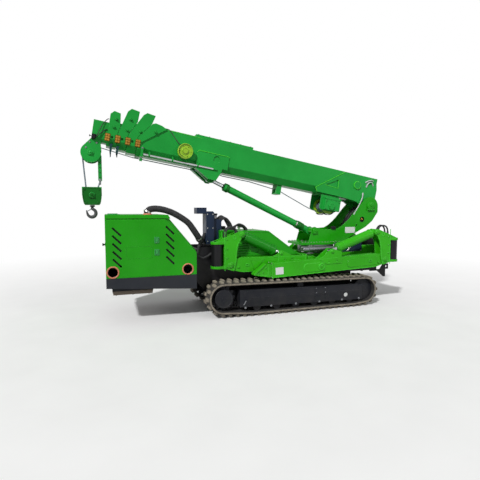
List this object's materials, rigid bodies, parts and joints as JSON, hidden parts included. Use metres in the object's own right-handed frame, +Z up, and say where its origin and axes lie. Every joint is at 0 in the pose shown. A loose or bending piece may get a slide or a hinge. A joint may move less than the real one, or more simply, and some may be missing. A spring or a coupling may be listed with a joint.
{
  "type": "crawler crane",
  "caption": "Compact crawler crane stored for travel: rubber tracks, engine hood, slewing column, low telescopic boom with hook, and folding outrigger legs.",
  "frame": {"origin": "on the ground under the middle of the overall box: half way between the boom tip sheave and the tow arms, and on the middle plane between the tracks", "axes": "+X along the machine towards the slewing column, -X towards the engine hood, -Y the side with the duct hose, cable reel and winch motor, +Z up"},
  "size_m": [3.2999, 0.9, 1.9558],
  "materials": {
    "machine_green": "gloss bright green enamel",
    "boom_green": "gloss mid green enamel",
    "leg_green": "gloss lime green enamel",
    "frame_black": "semi-gloss black enamel",
    "panel_grey": "dusty dark blue-grey paint",
    "skirt_grey": "matt dark grey paint",
    "navy": "satin dark navy paint",
    "track_rubber": "black rubber with dry beige dust",
    "hose_rubber": "ribbed black rubber",
    "steel_grey": "grey machined and cast steel",
    "rod_chrome": "hard-chromed cylinder rod",
    "reel_lime": "yellow-green moulding",
    "rope_steel": "stranded wire rope"
  },
  "bodies": {
    "root": {"chassis": "frame_black", "deck": "leg_green", "corner_posts": "frame_black", "tank_body": "machine_green", "valve_tower": "navy", "hood": "machine_green", "hood_skirt": "skirt_grey", "engine_block": "frame_black", "duct_hose": "hose_rubber", "track_l": "track_rubber", "track_r": "track_rubber", "track_frame_l": "panel_grey", "track_frame_r": "panel_grey", "track_wheels_l": "skirt_grey", "track_wheels_r": "skirt_grey", "slew_ring": "steel_grey", "slew_drive": "steel_grey"},
    "column": {"slew_column": "machine_green"},
    "luff_barrel": {"luff_barrel": "boom_green"},
    "luff_rod": {"luff_rod": "rod_chrome"},
    "boom_base": {"boom_base": "boom_green", "winch_frame": "boom_green", "winch_drum": "reel_lime", "cable_reel": "reel_lime"},
    "boom_2": {"boom_2": "boom_green"},
    "boom_3": {"boom_3": "boom_green"},
    "boom_4": {"boom_4": "boom_green"},
    "boom_5": {"boom_5": "boom_green"},
    "hook": {"rope_falls": "rope_steel", "hook_block": "boom_green", "hook": "steel_grey"},
    "turret_rl": {"turret_rl": "leg_green"},
    "beam_rl": {"beam_rl": "leg_green"},
    "foot_rl": {"foot_rl": "leg_green"},
    "leg_barrel_rl": {"leg_barrel_rl": "leg_green"},
    "leg_rod_rl": {"leg_rod_rl": "rod_chrome"},
    "turret_fl": {"turret_fl": "leg_green"},
    "beam_fl": {"beam_fl": "leg_green"},
    "foot_fl": {"foot_fl": "leg_green"},
    "leg_barrel_fl": {"leg_barrel_fl": "leg_green"},
    "leg_rod_fl": {"leg_rod_fl": "rod_chrome"},
    "turret_rr": {"turret_rr": "leg_green"},
    "beam_rr": {"beam_rr": "leg_green"},
    "foot_rr": {"foot_rr": "leg_green"},
    "leg_barrel_rr": {"leg_barrel_rr": "leg_green"},
    "leg_rod_rr": {"leg_rod_rr": "rod_chrome"},
    "turret_fr": {"turret_fr": "leg_green"},
    "beam_fr": {"beam_fr": "leg_green"},
    "foot_fr": {"foot_fr": "leg_green"},
    "leg_barrel_fr": {"leg_barrel_fr": "leg_green"},
    "leg_rod_fr": {"leg_rod_fr": "rod_chrome"}
  },
  "joints": [
    {"name": "slew", "type": "hinge", "parent": "root", "child": "column", "pos_m": [0.81, 0, 0.648], "axis": [0, 0, 1], "range_deg": [-180, 180]},
    {"name": "luff", "type": "hinge", "parent": "column", "child": "boom_base", "pos_m": [1.431, 0, 1.071], "axis": [0, 1, 0], "range_deg": [-4, 65]},
    {"name": "luff_barrel_turn", "type": "hinge", "parent": "column", "child": "luff_barrel", "pos_m": [0.712, 0, 0.8], "axis": [0, 1, 0], "range_deg": [-6, 72]},
    {"name": "luff_rod_slide", "type": "slide", "parent": "luff_barrel", "child": "luff_rod", "axis": [-0.9044, 0, 0.4267], "range_m": [-0.06, 0.85]},
    {"name": "boom_extend", "type": "slide", "parent": "boom_base", "child": "boom_2", "axis": [-0.986, 0, 0.1668], "range_m": [0, 1.5]},
    {"name": "boom_3_slide", "type": "slide", "parent": "boom_2", "child": "boom_3", "axis": [-0.986, 0, 0.1668], "range_m": [0, 1.5]},
    {"name": "boom_4_slide", "type": "slide", "parent": "boom_3", "child": "boom_4", "axis": [-0.986, 0, 0.1668], "range_m": [0, 1.5]},
    {"name": "boom_5_slide", "type": "slide", "parent": "boom_4", "child": "boom_5", "axis": [-0.986, 0, 0.1668], "range_m": [0, 1.5]},
    {"name": "hook_swing", "type": "hinge", "parent": "boom_5", "child": "hook", "pos_m": [-1.5609, 0, 1.55067], "axis": [0, 1, 0], "range_deg": [-66, 5]},
    {"name": "swing_rl", "type": "hinge", "parent": "root", "child": "turret_rl", "pos_m": [1.55, -0.385, 0.492], "axis": [0, 0, 1], "range_deg": [0, 135]},
    {"name": "fold_rl", "type": "hinge", "parent": "turret_rl", "child": "beam_rl", "pos_m": [1.422, -0.385, 0.492], "axis": [0, -1, 0], "range_deg": [0, 10.24]},
    {"name": "reach_rl", "type": "slide", "parent": "beam_rl", "child": "foot_rl", "axis": [-0.999, 0, -0.0454], "range_m": [0, 0.562]},
    {"name": "leg_barrel_turn_rl", "type": "hinge", "parent": "turret_rl", "child": "leg_barrel_rl", "pos_m": [1.312, -0.385, 0.79], "axis": [0, -1, 0], "range_deg": [0, 9.88]},
    {"name": "leg_rod_slide_rl", "type": "slide", "parent": "leg_barrel_rl", "child": "leg_rod_rl", "axis": [-0.9439, 0, -0.3301], "range_m": [0, 0.058]},
    {"name": "swing_fl", "type": "hinge", "parent": "root", "child": "turret_fl", "pos_m": [-0.434, -0.284, 0.492], "axis": [0, 0, -1], "range_deg": [0, 88.05]},
    {"name": "fold_fl", "type": "hinge", "parent": "turret_fl", "child": "beam_fl", "pos_m": [-0.306, -0.284, 0.492], "axis": [0, 1, 0], "range_deg": [0, 18.61]},
    {"name": "reach_fl", "type": "slide", "parent": "beam_fl", "child": "foot_fl", "axis": [1, 0, -0.0087], "range_m": [0, 0.452]},
    {"name": "leg_barrel_turn_fl", "type": "hinge", "parent": "turret_fl", "child": "leg_barrel_fl", "pos_m": [-0.196, -0.284, 0.79], "axis": [0, 1, 0], "range_deg": [0, 16.08]},
    {"name": "leg_rod_slide_fl", "type": "slide", "parent": "leg_barrel_fl", "child": "leg_rod_fl", "axis": [0.9044, 0, -0.4267], "range_m": [0, 0.1016]},
    {"name": "swing_rr", "type": "hinge", "parent": "root", "child": "turret_rr", "pos_m": [1.55, 0.385, 0.492], "axis": [0, 0, -1], "range_deg": [0, 135]},
    {"name": "fold_rr", "type": "hinge", "parent": "turret_rr", "child": "beam_rr", "pos_m": [1.422, 0.385, 0.492], "axis": [0, -1, 0], "range_deg": [0, 10.24]},
    {"name": "reach_rr", "type": "slide", "parent": "beam_rr", "child": "foot_rr", "axis": [-0.999, 0, -0.0454], "range_m": [0, 0.562]},
    {"name": "leg_barrel_turn_rr", "type": "hinge", "parent": "turret_rr", "child": "leg_barrel_rr", "pos_m": [1.312, 0.385, 0.79], "axis": [0, -1, 0], "range_deg": [0, 9.88]},
    {"name": "leg_rod_slide_rr", "type": "slide", "parent": "leg_barrel_rr", "child": "leg_rod_rr", "axis": [-0.9439, 0, -0.3301], "range_m": [0, 0.058]},
    {"name": "swing_fr", "type": "hinge", "parent": "root", "child": "turret_fr", "pos_m": [-0.434, 0.284, 0.492], "axis": [0, 0, 1], "range_deg": [0, 88.05]},
    {"name": "fold_fr", "type": "hinge", "parent": "turret_fr", "child": "beam_fr", "pos_m": [-0.306, 0.284, 0.492], "axis": [0, 1, 0], "range_deg": [0, 18.61]},
    {"name": "reach_fr", "type": "slide", "parent": "beam_fr", "child": "foot_fr", "axis": [1, 0, -0.0087], "range_m": [0, 0.452]},
    {"name": "leg_barrel_turn_fr", "type": "hinge", "parent": "turret_fr", "child": "leg_barrel_fr", "pos_m": [-0.196, 0.284, 0.79], "axis": [0, 1, 0], "range_deg": [0, 16.08]},
    {"name": "leg_rod_slide_fr", "type": "slide", "parent": "leg_barrel_fr", "child": "leg_rod_fr", "axis": [0.9044, 0, -0.4267], "range_m": [0, 0.1016]}
  ],
  "couplings": [
    {"joint": "luff_barrel_turn", "follows": "luff", "ratio": 1.0701},
    {"joint": "luff_rod_slide", "follows": "luff", "m_per_rad": 0.71881},
    {"joint": "hook_swing", "follows": "luff", "ratio": -1},
    {"joint": "boom_3_slide", "follows": "boom_extend", "ratio": 1},
    {"joint": "boom_4_slide", "follows": "boom_extend", "ratio": 1},
    {"joint": "boom_5_slide", "follows": "boom_extend", "ratio": 1},
    {"joint": "fold_rl", "follows": "swing_rl", "ratio": 0.075111},
    {"joint": "reach_rl", "follows": "swing_rl", "m_per_rad": 0.23767},
    {"joint": "leg_barrel_turn_rl", "follows": "swing_rl", "ratio": 0.072449},
    {"joint": "leg_rod_slide_rl", "follows": "swing_rl", "m_per_rad": 0.023773},
    {"joint": "swing_fl", "follows": "swing_rl", "ratio": 0.65},
    {"joint": "fold_fl", "follows": "swing_rl", "ratio": 0.13711},
    {"joint": "reach_fl", "follows": "swing_rl", "m_per_rad": 0.19099},
    {"joint": "leg_barrel_turn_fl", "follows": "swing_rl", "ratio": 0.11839},
    {"joint": "leg_rod_slide_fl", "follows": "swing_rl", "m_per_rad": 0.042265},
    {"joint": "fold_rr", "follows": "swing_rr", "ratio": 0.075111},
    {"joint": "reach_rr", "follows": "swing_rr", "m_per_rad": 0.23767},
    {"joint": "leg_barrel_turn_rr", "follows": "swing_rr", "ratio": 0.072449},
    {"joint": "leg_rod_slide_rr", "follows": "swing_rr", "m_per_rad": 0.023773},
    {"joint": "swing_fr", "follows": "swing_rr", "ratio": 0.65},
    {"joint": "fold_fr", "follows": "swing_rr", "ratio": 0.13711},
    {"joint": "reach_fr", "follows": "swing_rr", "m_per_rad": 0.19099},
    {"joint": "leg_barrel_turn_fr", "follows": "swing_rr", "ratio": 0.11839},
    {"joint": "leg_rod_slide_fr", "follows": "swing_rr", "m_per_rad": 0.042265}
  ]
}
